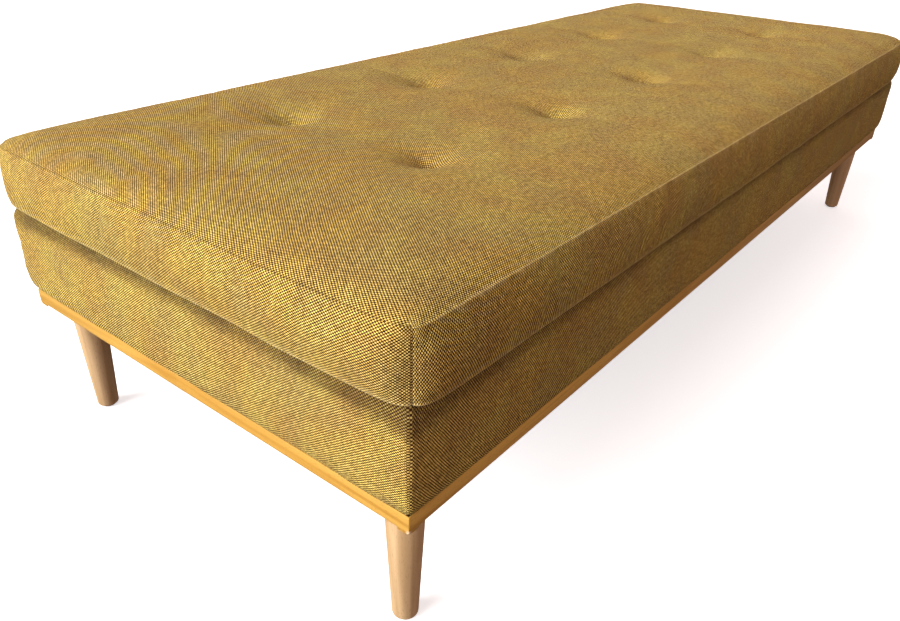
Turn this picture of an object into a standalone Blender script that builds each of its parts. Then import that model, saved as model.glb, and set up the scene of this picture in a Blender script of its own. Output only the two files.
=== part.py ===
"""Daybed: an upholstered box on a beech plinth with four turned legs, and a loose tufted mattress.

Metres, +Z up. X runs along the daybed, and its front is at -Y. The origin is on the floor, under
the middle of the plinth. Offsets are measured outwards from the plinth's outer faces.
"""

import math

import bmesh
import bpy
from mathutils import Matrix, Vector

# Overall sizes
LENGTH = 2.000
WIDTH = 0.800
LEG_LENGTH = 0.2007
BOARD_HEIGHT = 0.133
BOXING_HEIGHT = 0.0885

# Clearance between pieces that touch
GAP = 0.0003

# Legs and what fixes them
LEG_TOP_RADIUS = 0.0262
LEG_FOOT_RADIUS = 0.0172
LEG_INSET = 0.0495
LEG_EDGE = 0.0008
FOOT_ROUNDING = 0.0035
GLIDE_RADIUS = 0.0125
GLIDE_HEIGHT = 0.003
GLIDE_EDGE = 0.001
BOLT_RADIUS = 0.004
BOLT_IN_LEG = 0.045
BOLT_ABOVE_NUT = 0.004
BOLT_CHAMFER = 0.001
BLOCK_SIDE = 0.085
BLOCK_HEIGHT = 0.030
NUT_BARREL_RADIUS = 0.0055
NUT_BARREL_LENGTH = 0.012
NUT_FLANGE_RADIUS = 0.0105
NUT_FLANGE_THICKNESS = 0.0015

# Plinth, box frame and deck
PLINTH_HEIGHT = 0.027
PLINTH_THICKNESS = 0.018
PLINTH_ROUNDING = 0.006
BOARD_THICKNESS = 0.016
CROSS_RAIL_HEIGHT = 0.090
CROSS_RAIL_SPACING = 0.480
DECK_THICKNESS = 0.009
DUST_COVER_THICKNESS = 0.0008
DUST_COVER_LAP = 0.012

# Upholstery of the box
CLOTH = 0.002
CASE_BULGE = 0.011
CASE_TUCK_RADIUS = 0.011
CASE_TOP_RADIUS = 0.014
DECK_FOAM_THICKNESS = 0.032

# Mattress
MATTRESS_OVERHANG = 0.0115
BOXING_BULGE = 0.004
CROWN_HEIGHT = 0.020
CROWN_REACH = 0.200
TUFTS_ALONG = 5
TUFT_PITCH = 0.333
TUFT_ROW_SPACING = 0.280
TUFT_DEPTH = 0.022
TWINE_RADIUS = 0.0015
TWINE_CLEARANCE = 0.0015
WASHER_RADIUS = 0.011
WASHER_THICKNESS = 0.003

# Zip in the back boxing
ZIP_LENGTH = 1.300
ZIP_SLOT_HEIGHT = 0.008
ZIP_CENTRE_ABOVE_SEAM = 0.0145
ZIP_TAPE_THICKNESS = 0.0008
SLIDER_LENGTH = 0.011
SLIDER_STOP = 0.004
SLIDER_EDGE = 0.0006

ARC_STEPS = 5
TURNED_STEPS = 32
HOLE_STEPS = 12

HALF_LENGTH = LENGTH / 2
HALF_WIDTH = WIDTH / 2

# Levels, from the floor up
LEG_FOOT_Z = GLIDE_HEIGHT + GAP
LEG_TOP_Z = LEG_FOOT_Z + LEG_LENGTH
FRAME_Z = LEG_TOP_Z + GAP
PLINTH_TOP_Z = FRAME_Z + PLINTH_HEIGHT
BOARD_TOP_Z = FRAME_Z + BOARD_HEIGHT
BLOCK_TOP_Z = FRAME_Z + BLOCK_HEIGHT
DECK_Z = BOARD_TOP_Z + GAP
DECK_FOAM_Z = DECK_Z + DECK_THICKNESS + GAP
DECK_FOAM_TOP_Z = DECK_FOAM_Z + DECK_FOAM_THICKNESS
CASE_Z = PLINTH_TOP_Z + GAP
CASE_TOP_Z = DECK_FOAM_TOP_Z + GAP + CLOTH
MATTRESS_Z = CASE_TOP_Z + GAP
BOXING_Z = MATTRESS_Z + CLOTH + GAP
BOXING_TOP_Z = BOXING_Z + BOXING_HEIGHT
TOP_PANEL_Z = BOXING_TOP_Z + GAP

# Offsets, which are negative inside the plinth's outer faces
BOARD_OFFSET = -(PLINTH_THICKNESS + GAP)
INSIDE_OFFSET = BOARD_OFFSET - BOARD_THICKNESS - GAP

# Each side's turn about Z from the front, its half run between corners and its reach from the middle
SIDES = {
    "front": (0, HALF_LENGTH, HALF_WIDTH),
    "right": (90, HALF_WIDTH, HALF_LENGTH),
    "back": (180, HALF_LENGTH, HALF_WIDTH),
    "left": (270, HALF_WIDTH, HALF_LENGTH),
}
CORNERS = {
    "front_left": (-1, -1),
    "front_right": (1, -1),
    "back_left": (-1, 1),
    "back_right": (1, 1),
}


def collection(name):
    made = bpy.data.collections.new(name)
    bpy.context.scene.collection.children.link(made)
    return made


def material(name, colour, roughness, metallic=0.0):
    made = bpy.data.materials.new(name)
    made.use_nodes = True
    shader = made.node_tree.nodes["Principled BSDF"]
    shader.inputs["Base Color"].default_value = (*colour, 1.0)
    shader.inputs["Roughness"].default_value = roughness
    shader.inputs["Metallic"].default_value = metallic
    made.diffuse_color = (*colour, 1.0)
    return made


def add_object(name, mesh, finish, location=(0, 0, 0), parent=None):
    made = bpy.data.objects.new(name, mesh)
    made.location = location
    if finish is None:
        made.hide_render = True
        made.display_type = "WIRE"
        cutters.objects.link(made)
    else:
        mesh.materials.append(finish)
        daybed.objects.link(made)
    if parent is not None:
        made.parent = parent
        made.matrix_parent_inverse = parent.matrix_world.inverted()
    return made


def add_empty(name, location):
    made = bpy.data.objects.new(name, None)
    made.location = location
    daybed.objects.link(made)
    bpy.context.view_layer.update()
    return made


def box(name, low, high, finish, parent=None):
    low = Vector(low)
    high = Vector(high)
    bm = bmesh.new()
    bmesh.ops.create_cube(bm, size=1.0)
    bmesh.ops.scale(bm, vec=high - low, verts=bm.verts)
    mesh = bpy.data.meshes.new(name)
    bm.to_mesh(mesh)
    bm.free()
    return add_object(name, mesh, finish, (low + high) / 2, parent)


def turned(name, outline, steps, finish, location=(0, 0, 0), parent=None):
    """A turned piece from the (radius, z) points of its outline, which runs down its outer side."""
    bm = bmesh.new()
    points = [bm.verts.new((radius, 0, z)) for radius, z in outline]
    for first, second in zip(points, points[1:]):
        bm.edges.new((first, second))
    if outline[0][0] > 0:
        bm.edges.new((points[-1], points[0]))
    mesh = bpy.data.meshes.new(name)
    bm.to_mesh(mesh)
    bm.free()
    made = add_object(name, mesh, finish, location, parent)
    screw = made.modifiers.new("turn", "SCREW")
    screw.steps = steps
    screw.render_steps = steps
    screw.use_merge_vertices = True
    screw.merge_threshold = 0.00001
    screw.use_smooth_shade = False
    return made


def outline_mesh(name, points, depth):
    """A flat outline in local X and Y with this depth along local Z."""
    curve = bpy.data.curves.new(name, "CURVE")
    curve.dimensions = "2D"
    curve.fill_mode = "BOTH"
    curve.extrude = depth / 2
    spline = curve.splines.new("POLY")
    spline.points.add(len(points) - 1)
    for point, (x, y) in zip(spline.points, points):
        point.co = (x, y, 0, 1)
    spline.use_cyclic_u = True
    guide = bpy.data.objects.new(name, curve)
    cutters.objects.link(guide)
    bpy.context.view_layer.update()
    graph = bpy.context.evaluated_depsgraph_get()
    mesh = bpy.data.meshes.new_from_object(guide.evaluated_get(graph))
    bpy.data.objects.remove(guide)
    bpy.data.curves.remove(curve)
    bm = bmesh.new()
    bm.from_mesh(mesh)
    bmesh.ops.remove_doubles(bm, verts=bm.verts, dist=0.00001)
    bmesh.ops.recalc_face_normals(bm, faces=bm.faces)
    bm.to_mesh(mesh)
    bm.free()
    return mesh


def mitred(name, side, outline, finish, parent=None):
    """A length with this (offset, z) section along one side, mitred to its neighbours at both ends."""
    turn, run, reach = SIDES[side]
    furthest = max(offset for offset, _ in outline)
    mesh = outline_mesh(name, outline, 2 * (run + furthest) + 4 * GAP)
    # Local X points out of the front face, local Y up and local Z along the side
    mesh.transform(Matrix(((0, 0, -1, 0), (-1, 0, 0, -reach), (0, 1, 0, 0), (0, 0, 0, 1))))
    bm = bmesh.new()
    bm.from_mesh(mesh)
    for end in (-1, 1):
        cut = bmesh.ops.bisect_plane(
            bm,
            geom=bm.verts[:] + bm.edges[:] + bm.faces[:],
            plane_co=(end * (run - GAP), -reach, 0),
            plane_no=(end, 1, 0),
            clear_outer=True,
        )
        rim = [part for part in cut["geom_cut"] if isinstance(part, bmesh.types.BMEdge)]
        bmesh.ops.holes_fill(bm, edges=rim)
    bmesh.ops.recalc_face_normals(bm, faces=bm.faces)
    bm.to_mesh(mesh)
    bm.free()
    mesh.transform(Matrix.Rotation(math.radians(turn), 4, "Z"))
    return add_object(name, mesh, finish, parent=parent)


def stacked(name, levels, finish, parent=None):
    """A solid with a rectangular section at each (offset, z) level, one extruded from the last."""
    bm = bmesh.new()
    bmesh.ops.create_cube(bm, size=2.0)
    lower = [vert for vert in bm.verts if vert.co.z < 0]
    upper = [vert for vert in bm.verts if vert.co.z > 0]
    top = next(face for face in bm.faces if face.normal.z > 0.5)
    set_level(lower, *levels[0])
    set_level(upper, *levels[1])
    for level in levels[2:]:
        grown = bmesh.ops.extrude_face_region(bm, geom=[top])["geom"]
        bmesh.ops.delete(bm, geom=[top], context="FACES_ONLY")
        top = next(part for part in grown if isinstance(part, bmesh.types.BMFace))
        set_level(top.verts, *level)
    bmesh.ops.recalc_face_normals(bm, faces=bm.faces)
    mesh = bpy.data.meshes.new(name)
    bm.to_mesh(mesh)
    bm.free()
    return add_object(name, mesh, finish, parent=parent)


def set_level(verts, offset, z):
    for vert in verts:
        vert.co.x = math.copysign(HALF_LENGTH + offset, vert.co.x)
        vert.co.y = math.copysign(HALF_WIDTH + offset, vert.co.y)
        vert.co.z = z


def cut(piece, cutter):
    """Takes the cutter out of the piece, and keeps the result in its mesh."""
    modifier = piece.modifiers.new(cutter.name, "BOOLEAN")
    modifier.operation = "DIFFERENCE"
    modifier.object = cutter


def arc(centre_offset, centre_z, radius, start, end):
    """Points from one angle to another, in degrees, where 0 points outwards and 90 up."""
    angles = [math.radians(start + (end - start) * step / ARC_STEPS) for step in range(ARC_STEPS + 1)]
    return [(centre_offset + radius * math.cos(a), centre_z + radius * math.sin(a)) for a in angles]


def case_side(depth):
    """The box's upholstered side, bottom to top, this deep under its outer surface."""
    tuck = arc(CASE_BULGE - CASE_TUCK_RADIUS, CASE_Z + CASE_TUCK_RADIUS, CASE_TUCK_RADIUS - depth, -90, 0)
    shoulder = arc(CASE_BULGE - CASE_TOP_RADIUS, CASE_TOP_Z - CASE_TOP_RADIUS, CASE_TOP_RADIUS - depth, 0, 90)
    return tuck + shoulder


def boxing_offset(z):
    """How far the mattress's side stands out at this height: an arc from seam to seam."""
    radius = ((BOXING_HEIGHT / 2) ** 2 + BOXING_BULGE**2) / (2 * BOXING_BULGE)
    rise = z - (BOXING_Z + BOXING_TOP_Z) / 2
    return MATTRESS_OVERHANG + BOXING_BULGE - radius + math.sqrt(radius**2 - rise**2)


def boxing_side(depth):
    """The mattress's side, seam to seam, this deep under its outer surface."""
    heights = [BOXING_Z + BOXING_HEIGHT * step / ARC_STEPS for step in range(ARC_STEPS + 1)]
    return [(boxing_offset(z) - depth, z) for z in heights]


def crown(depth):
    """The mattress's top, edge to middle, this deep under its outer surface."""
    shares = [step / ARC_STEPS for step in range(ARC_STEPS + 1)]
    return [
        (
            MATTRESS_OVERHANG - share**1.5 * CROWN_REACH,
            TOP_PANEL_Z + CLOTH - depth + CROWN_HEIGHT * (1 - (1 - share**1.5) ** 2),
        )
        for share in shares
    ]


for leftover in list(bpy.data.objects):
    bpy.data.objects.remove(leftover, do_unlink=True)

daybed = collection("daybed")
cutters = collection("cutters")

LACQUERED_BEECH = material("lacquered_beech", (0.62, 0.33, 0.105), 0.35)
PALE_BEECH = material("pale_beech", (0.60, 0.40, 0.21), 0.6)
PINE = material("pine", (0.66, 0.48, 0.27), 0.7)
PLYWOOD = material("plywood", (0.58, 0.42, 0.25), 0.7)
ZINC = material("zinc_plated_steel", (0.62, 0.63, 0.65), 0.35, 1.0)
FELT = material("grey_felt", (0.20, 0.19, 0.18), 0.95)
MUSTARD_CLOTH = material("mustard_cloth", (0.43, 0.25, 0.035), 0.9)
LINING = material("black_lining", (0.03, 0.03, 0.032), 0.95)
FOAM = material("foam", (0.80, 0.76, 0.60), 0.95)
TWINE = material("twine", (0.50, 0.40, 0.24), 0.9)
ZIP_NYLON = material("zip_nylon", (0.36, 0.21, 0.035), 0.6)

# Legs: a tapered beech leg, a glide under its foot, and a hanger bolt into a tee nut in a block
leg_outline = (
    [(0, LEG_TOP_Z - BOLT_IN_LEG - GAP), (BOLT_RADIUS + GAP, LEG_TOP_Z - BOLT_IN_LEG - GAP)]
    + [(BOLT_RADIUS + GAP, LEG_TOP_Z), (LEG_TOP_RADIUS - LEG_EDGE, LEG_TOP_Z)]
    + [(LEG_TOP_RADIUS, LEG_TOP_Z - LEG_EDGE)]
    + arc(LEG_FOOT_RADIUS - FOOT_ROUNDING, LEG_FOOT_Z + FOOT_ROUNDING, FOOT_ROUNDING, 0, -90)
    + [(0, LEG_FOOT_Z)]
)
glide_outline = [
    (0, GLIDE_HEIGHT),
    (GLIDE_RADIUS, GLIDE_HEIGHT),
    (GLIDE_RADIUS, GLIDE_EDGE),
    (GLIDE_RADIUS - GLIDE_EDGE, 0),
    (0, 0),
]
nut_top_z = BLOCK_TOP_Z + GAP + NUT_FLANGE_THICKNESS
bolt_top_z = nut_top_z + BOLT_ABOVE_NUT
bolt_foot_z = LEG_TOP_Z - BOLT_IN_LEG
bolt_outline = [
    (0, bolt_top_z),
    (BOLT_RADIUS - BOLT_CHAMFER, bolt_top_z),
    (BOLT_RADIUS, bolt_top_z - BOLT_CHAMFER),
    (BOLT_RADIUS, bolt_foot_z + BOLT_CHAMFER),
    (BOLT_RADIUS - BOLT_CHAMFER, bolt_foot_z),
    (0, bolt_foot_z),
]
nut_outline = [
    (BOLT_RADIUS + GAP, nut_top_z),
    (NUT_FLANGE_RADIUS, nut_top_z),
    (NUT_FLANGE_RADIUS, BLOCK_TOP_Z + GAP),
    (NUT_BARREL_RADIUS, BLOCK_TOP_Z + GAP),
    (NUT_BARREL_RADIUS, BLOCK_TOP_Z - NUT_BARREL_LENGTH),
    (BOLT_RADIUS + GAP, BLOCK_TOP_Z - NUT_BARREL_LENGTH),
]
block_hole_outline = [
    (0, BLOCK_TOP_Z + BOLT_ABOVE_NUT),
    (NUT_BARREL_RADIUS + GAP, BLOCK_TOP_Z + BOLT_ABOVE_NUT),
    (NUT_BARREL_RADIUS + GAP, FRAME_Z - BOLT_ABOVE_NUT),
    (0, FRAME_Z - BOLT_ABOVE_NUT),
]
for corner, (along, across) in CORNERS.items():
    axis = (along * (HALF_LENGTH - LEG_INSET), across * (HALF_WIDTH - LEG_INSET), 0)
    turned(f"leg_{corner}", leg_outline, TURNED_STEPS, PALE_BEECH, axis)
    turned(f"glide_{corner}", glide_outline, TURNED_STEPS, FELT, axis)
    turned(f"leg_bolt_{corner}", bolt_outline, HOLE_STEPS, ZINC, axis)
    turned(f"tee_nut_{corner}", nut_outline, HOLE_STEPS, ZINC, axis)
    block_far = (along * (HALF_LENGTH + INSIDE_OFFSET), across * (HALF_WIDTH + INSIDE_OFFSET))
    block_near = (block_far[0] - along * BLOCK_SIDE, block_far[1] - across * BLOCK_SIDE)
    block = box(
        f"corner_block_{corner}",
        (min(block_far[0], block_near[0]), min(block_far[1], block_near[1]), FRAME_Z),
        (max(block_far[0], block_near[0]), max(block_far[1], block_near[1]), BLOCK_TOP_Z),
        PINE,
    )
    hole = turned(f"block_hole_{corner}", block_hole_outline, HOLE_STEPS, None, axis)
    cut(block, hole)

# Plinth: a beech strip round the foot of the frame, its lower edge rounded over
plinth_outline = (
    [(-PLINTH_THICKNESS, FRAME_Z)]
    + arc(-PLINTH_ROUNDING, FRAME_Z + PLINTH_ROUNDING, PLINTH_ROUNDING, -90, 0)
    + [(0, PLINTH_TOP_Z), (-PLINTH_THICKNESS, PLINTH_TOP_Z)]
)
for side in SIDES:
    mitred(f"plinth_{side}", side, plinth_outline, LACQUERED_BEECH)

# Box frame: boards on edge, the long ones running past the short ones
board_reach = HALF_WIDTH + BOARD_OFFSET
board_run = HALF_LENGTH + BOARD_OFFSET
end_run = board_reach - BOARD_THICKNESS - GAP
for side, across in (("front", -1), ("back", 1)):
    faces = sorted((across * board_reach, across * (board_reach - BOARD_THICKNESS)))
    box(
        f"frame_{side}",
        (-board_run, faces[0], FRAME_Z),
        (board_run, faces[1], BOARD_TOP_Z),
        PINE,
    )
for side, along in (("left", -1), ("right", 1)):
    faces = sorted((along * board_run, along * (board_run - BOARD_THICKNESS)))
    box(f"frame_{side}", (faces[0], -end_run, FRAME_Z), (faces[1], end_run, BOARD_TOP_Z), PINE)

# Cross rails under a deck in two halves, which meet over the middle rail
for name, place in (("left", -1), ("middle", 0), ("right", 1)):
    middle = place * CROSS_RAIL_SPACING
    box(
        f"cross_rail_{name}",
        (middle - BOARD_THICKNESS / 2, -end_run, BOARD_TOP_Z - CROSS_RAIL_HEIGHT),
        (middle + BOARD_THICKNESS / 2, end_run, BOARD_TOP_Z),
        PINE,
    )
box(
    "deck_board_left",
    (-board_run, -board_reach, DECK_Z),
    (-GAP, board_reach, DECK_Z + DECK_THICKNESS),
    PLYWOOD,
)
box(
    "deck_board_right",
    (GAP, -board_reach, DECK_Z),
    (board_run, board_reach, DECK_Z + DECK_THICKNESS),
    PLYWOOD,
)

# Dust cover: stapled under the boards, notched round the corner blocks
cover_x = board_run - BOARD_THICKNESS + DUST_COVER_LAP
cover_y = board_reach - BOARD_THICKNESS + DUST_COVER_LAP
notch = BLOCK_SIDE + DUST_COVER_LAP + GAP
dust_outline = [
    (along * x, across * y)
    for along, across, corner_points in (
        (1, 1, ((cover_x, cover_y - notch), (cover_x - notch, cover_y - notch), (cover_x - notch, cover_y))),
        (-1, 1, ((cover_x - notch, cover_y), (cover_x - notch, cover_y - notch), (cover_x, cover_y - notch))),
        (-1, -1, ((cover_x, cover_y - notch), (cover_x - notch, cover_y - notch), (cover_x - notch, cover_y))),
        (1, -1, ((cover_x - notch, cover_y), (cover_x - notch, cover_y - notch), (cover_x, cover_y - notch))),
    )
    for x, y in corner_points
]
dust_mesh = outline_mesh("dust_cover", dust_outline, DUST_COVER_THICKNESS)
add_object("dust_cover", dust_mesh, LINING, (0, 0, FRAME_Z - GAP - DUST_COVER_THICKNESS / 2))

# Foam on the box: a strip round its sides and a sheet on its deck
foam_outline = case_side(CLOTH + GAP)
border_foam = stacked("border_foam", foam_outline, FOAM)
border_core = box(
    "border_core",
    (-board_run - GAP, -board_reach - GAP, CASE_Z - CLOTH),
    (board_run + GAP, board_reach + GAP, CASE_TOP_Z + CLOTH),
    None,
)
cut(border_foam, border_core)
box(
    "deck_foam",
    (-board_run, -board_reach, DECK_FOAM_Z),
    (board_run, board_reach, DECK_FOAM_TOP_Z),
    FOAM,
)

# Cloth on the box: four sides sewn at the corners, and the deck cloth between them
for side in SIDES:
    mitred(f"case_cover_{side}", side, case_side(0) + case_side(CLOTH)[::-1], MUSTARD_CLOTH)
deck_cloth_offset = CASE_BULGE - CASE_TOP_RADIUS - GAP
stacked(
    "case_cover_top",
    [(deck_cloth_offset, CASE_TOP_Z - CLOTH), (deck_cloth_offset, CASE_TOP_Z)],
    MUSTARD_CLOTH,
)

# Mattress: a foam core with ten blind tufts, in a cover of top, underside and four boxing strips
mattress = add_empty("mattress", (0, 0, MATTRESS_Z))
stacked(
    "mattress_underside",
    [(MATTRESS_OVERHANG, MATTRESS_Z), (MATTRESS_OVERHANG, MATTRESS_Z + CLOTH)],
    MUSTARD_CLOTH,
    mattress,
)
boxing = {}
for side in SIDES:
    section = boxing_side(0) + boxing_side(CLOTH)[::-1]
    boxing[side] = mitred(f"boxing_{side}", side, section, MUSTARD_CLOTH, mattress)
stacked("mattress_top", crown(CLOTH)[::-1] + crown(0), MUSTARD_CLOTH, mattress)
core = stacked(
    "mattress_foam",
    boxing_side(CLOTH + GAP) + crown(CLOTH + GAP)[1:],
    FOAM,
    mattress,
)

# Ties: twine from each tuft down to a washer let into the underside of the core
washer_top_z = BOXING_Z + WASHER_THICKNESS
pocket_top_z = washer_top_z + GAP
crown_z = TOP_PANEL_Z + CLOTH + CROWN_HEIGHT
tie_top_z = crown_z - TUFT_DEPTH - CLOTH
tie_outline = [
    (0, tie_top_z),
    (TWINE_RADIUS, tie_top_z),
    (TWINE_RADIUS, washer_top_z),
    (WASHER_RADIUS, washer_top_z),
    (WASHER_RADIUS, BOXING_Z),
    (0, BOXING_Z),
]
tie_hole_outline = [
    (0, crown_z),
    (TWINE_RADIUS + TWINE_CLEARANCE, crown_z),
    (TWINE_RADIUS + TWINE_CLEARANCE, pocket_top_z),
    (WASHER_RADIUS + GAP, pocket_top_z),
    (WASHER_RADIUS + GAP, MATTRESS_Z),
    (0, MATTRESS_Z),
]
for row, across in enumerate((-1, 1)):
    for place in range(TUFTS_ALONG):
        number = row * TUFTS_ALONG + place + 1
        along = place - (TUFTS_ALONG - 1) / 2
        axis = (along * TUFT_PITCH, across * TUFT_ROW_SPACING / 2, 0)
        turned(f"tie_{number}", tie_outline, HOLE_STEPS, TWINE, axis, mattress)
        hole = turned(f"tie_hole_{number}", tie_hole_outline, HOLE_STEPS, None, axis, mattress)
        cut(core, hole)

# Zip: let into a slot in the back boxing, its slider on the outside at the left end
zip_z = BOXING_Z + ZIP_CENTRE_ABOVE_SEAM
boxing_face = HALF_WIDTH + MATTRESS_OVERHANG + BOXING_BULGE
slot = box(
    "zip_slot",
    (-ZIP_LENGTH / 2, HALF_WIDTH, zip_z - ZIP_SLOT_HEIGHT / 2),
    (ZIP_LENGTH / 2, boxing_face + BOXING_BULGE, zip_z + ZIP_SLOT_HEIGHT / 2),
    None,
    mattress,
)
cut(boxing["back"], slot)
tape_y = HALF_WIDTH + boxing_offset(zip_z + ZIP_SLOT_HEIGHT / 2) - CLOTH
box(
    "zip_tape",
    (-ZIP_LENGTH / 2 + GAP, tape_y, zip_z - ZIP_SLOT_HEIGHT / 2 + GAP),
    (ZIP_LENGTH / 2 - GAP, tape_y + ZIP_TAPE_THICKNESS, zip_z + ZIP_SLOT_HEIGHT / 2 - GAP),
    ZIP_NYLON,
    mattress,
)
slider_x = -ZIP_LENGTH / 2 + SLIDER_STOP
slider = box(
    "zip_slider",
    (slider_x, tape_y + ZIP_TAPE_THICKNESS + GAP, zip_z - ZIP_SLOT_HEIGHT / 2 + 2 * GAP),
    (slider_x + SLIDER_LENGTH, boxing_face, zip_z + ZIP_SLOT_HEIGHT / 2 - 2 * GAP),
    ZINC,
    mattress,
)
rounding = slider.modifiers.new("rounding", "BEVEL")
rounding.width = SLIDER_EDGE
rounding.segments = 2
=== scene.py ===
"""Looks of the upholstered daybed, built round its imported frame.

Metres, +Z up. X runs along the daybed and its front is at -Y.
"""

import math

import bmesh
import bpy
import numpy as np
from mathutils import Matrix, Vector, noise
from mathutils.kdtree import KDTree


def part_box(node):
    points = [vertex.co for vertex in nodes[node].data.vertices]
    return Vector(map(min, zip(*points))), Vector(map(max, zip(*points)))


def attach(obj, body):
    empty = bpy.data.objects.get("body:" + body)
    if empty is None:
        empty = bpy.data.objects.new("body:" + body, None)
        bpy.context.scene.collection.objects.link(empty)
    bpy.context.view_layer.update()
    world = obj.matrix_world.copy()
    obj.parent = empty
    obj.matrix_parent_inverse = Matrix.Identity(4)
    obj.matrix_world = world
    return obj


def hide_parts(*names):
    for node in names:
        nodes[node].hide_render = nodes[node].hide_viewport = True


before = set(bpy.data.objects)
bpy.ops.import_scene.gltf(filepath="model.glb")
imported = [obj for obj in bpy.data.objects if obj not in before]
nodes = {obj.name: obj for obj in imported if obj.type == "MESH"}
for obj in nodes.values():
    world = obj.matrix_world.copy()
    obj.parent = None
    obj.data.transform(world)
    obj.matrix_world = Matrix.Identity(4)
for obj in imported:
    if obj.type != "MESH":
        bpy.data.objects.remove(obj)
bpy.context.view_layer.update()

# Studio: a pale floor in a white surround, with a broad soft sun and a softer lamp on the left, a
# little behind, and a faint lamp over the far end. The camera looks down over the front left corner.
CAMERA_PLACE = (-1.47293, -0.81383, 0.84363)
CAMERA_AZIMUTH, CAMERA_ELEVATION, CAMERA_ROLL = -52.216, 29.404, 1.756
camera_data = bpy.data.cameras.new("camera")
camera_data.sensor_width = 36.0
camera_data.lens = 31.43
camera_data.clip_end = 50.0
camera = bpy.data.objects.new("camera", camera_data)
heading = Matrix.Rotation(math.radians(CAMERA_AZIMUTH), 4, "Z")
tilt = Matrix.Rotation(math.radians(90 - CAMERA_ELEVATION), 4, "X")
roll = Matrix.Rotation(math.radians(CAMERA_ROLL), 4, "Z")
camera.rotation_euler = (heading @ tilt @ roll).to_euler()
camera.location = CAMERA_PLACE
bpy.context.scene.collection.objects.link(camera)
bpy.context.scene.camera = camera
bpy.context.scene.view_settings.view_transform = "Standard"

bpy.ops.mesh.primitive_plane_add(size=60.0)
floor = bpy.context.object
floor.name = "floor"
floor.visible_diffuse = False
floor.visible_glossy = False
pale = bpy.data.materials.new("pale_floor")
pale.use_nodes = True
pale_shader = pale.node_tree.nodes["Principled BSDF"]
pale_shader.inputs["Base Color"].default_value = (0.92, 0.92, 0.92, 1.0)
pale_shader.inputs["Roughness"].default_value = 0.9
pale_shader.inputs["Emission Color"].default_value = (1.0, 1.0, 1.0, 1.0)
pale_shader.inputs["Emission Strength"].default_value = 0.62
floor.data.materials.append(pale)

bpy.ops.mesh.primitive_uv_sphere_add(radius=28.0, segments=48, ring_count=24)
backdrop = bpy.context.object
backdrop.name = "backdrop"
backdrop.visible_diffuse = False
backdrop.visible_glossy = False
backdrop.visible_shadow = False
white = bpy.data.materials.new("white_backdrop")
white.use_nodes = True
white_shader = white.node_tree.nodes["Principled BSDF"]
white_shader.inputs["Base Color"].default_value = (0.0, 0.0, 0.0, 1.0)
white_shader.inputs["Emission Color"].default_value = (1.0, 1.0, 1.0, 1.0)
white_shader.inputs["Emission Strength"].default_value = 1.0
backdrop.data.materials.append(white)

surround = bpy.data.worlds.new("surround")
surround.use_nodes = True
sky = surround.node_tree.nodes
facing = sky.new("ShaderNodeTexCoord")
height = sky.new("ShaderNodeSeparateXYZ")
dome = sky.new("ShaderNodeValToRGB")
dome.color_ramp.elements[0].position = 0.47
dome.color_ramp.elements[0].color = (0.12, 0.08, 0.06, 1.0)
dome.color_ramp.elements[1].position = 0.55
dome.color_ramp.elements[1].color = (1.20, 0.88, 0.82, 1.0)
overhead = dome.color_ramp.elements.new(0.80)
overhead.color = (0.36, 0.27, 0.26, 1.0)
raised = sky.new("ShaderNodeMath")
raised.operation = "MULTIPLY_ADD"
raised.inputs[1].default_value = raised.inputs[2].default_value = 0.5
for source, target in (
    (facing.outputs["Generated"], height.inputs[0]),
    (height.outputs["Z"], raised.inputs[0]),
    (raised.outputs[0], dome.inputs[0]),
    (dome.outputs[0], sky["Background"].inputs["Color"]),
):
    surround.node_tree.links.new(source, target)
bpy.context.scene.world = surround

key_light = bpy.data.lights.new("key", "SUN")
key_light.energy = 5.0
key_light.angle = math.radians(50)
key_lamp = bpy.data.objects.new("key", key_light)
key_lamp.rotation_euler = Vector((0.82, -0.32, -0.47)).to_track_quat("-Z", "Y").to_euler()
bpy.context.scene.collection.objects.link(key_lamp)

side_light = bpy.data.lights.new("side", "AREA")
side_light.size = 0.8
side_light.energy = 13.0
side_lamp = bpy.data.objects.new("side", side_light)
side_lamp.location = (-2.6, 1.3, 0.9)
side_lamp.rotation_euler = Vector((1.6, -0.9, -0.5)).to_track_quat("-Z", "Y").to_euler()
bpy.context.scene.collection.objects.link(side_lamp)

far_light = bpy.data.lights.new("far_end", "AREA")
far_light.size = 1.0
far_light.energy = 2.0
far_lamp = bpy.data.objects.new("far_end", far_light)
far_lamp.location = (1.6, 0.4, 1.4)
far_lamp.visible_camera = False
bpy.context.scene.collection.objects.link(far_lamp)

# Legs: four tapered beech legs, turned and sanded but left matte. Each foot is eased over, and the
# top takes a hanger bolt that screws up into the frame.
FOOT_EASING = 0.0035
TOP_EASING = 0.0008
FOOT_RADIUS = 0.0172
BOLT_HOLE_RADIUS = 0.0043
BOLT_HOLE_DEPTH = 0.0455
TURNED_SIDES = 72


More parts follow.
